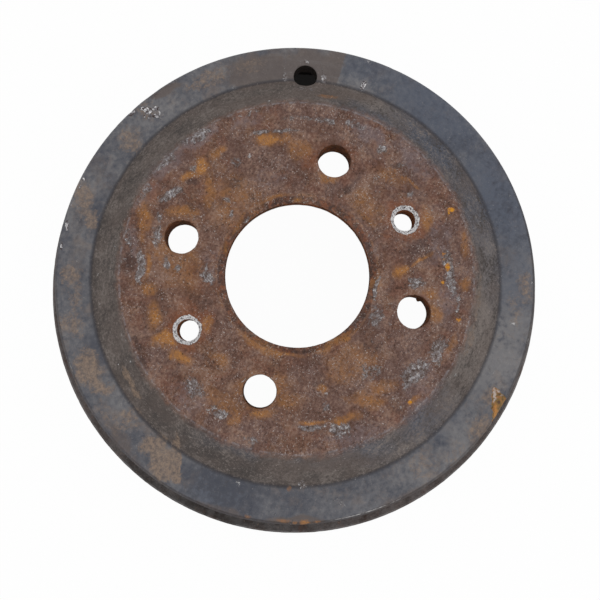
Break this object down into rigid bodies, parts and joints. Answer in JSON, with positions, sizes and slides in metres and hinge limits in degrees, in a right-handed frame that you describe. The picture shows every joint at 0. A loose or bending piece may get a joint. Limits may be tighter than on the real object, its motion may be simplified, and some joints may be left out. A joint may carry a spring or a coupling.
{
  "type": "brake drum",
  "caption": "Used, rusty cast-iron brake drum: raised wheel face, sloping shoulder, outer ring, flanged open rim, centre bore, wheel bolt holes, countersunk screw holes and an access hole.",
  "frame": {"origin": "on the bore's axis, in the machined hub seat at the back of the web, which is the plane that the wheel bolt holes start from", "axes": "+Z along the bore's axis, outboard towards the road wheel, so the drum lies on its open rim; +X through one wheel bolt hole"},
  "size_m": [0.2194, 0.2194, 0.0505],
  "materials": {
    "grey_iron": "rusted and worn, with oxide-blue and tan patches on the outer ring"
  },
  "bodies": {
    "root": {"brake_drum": "grey_iron"}
  },
  "joints": []
}
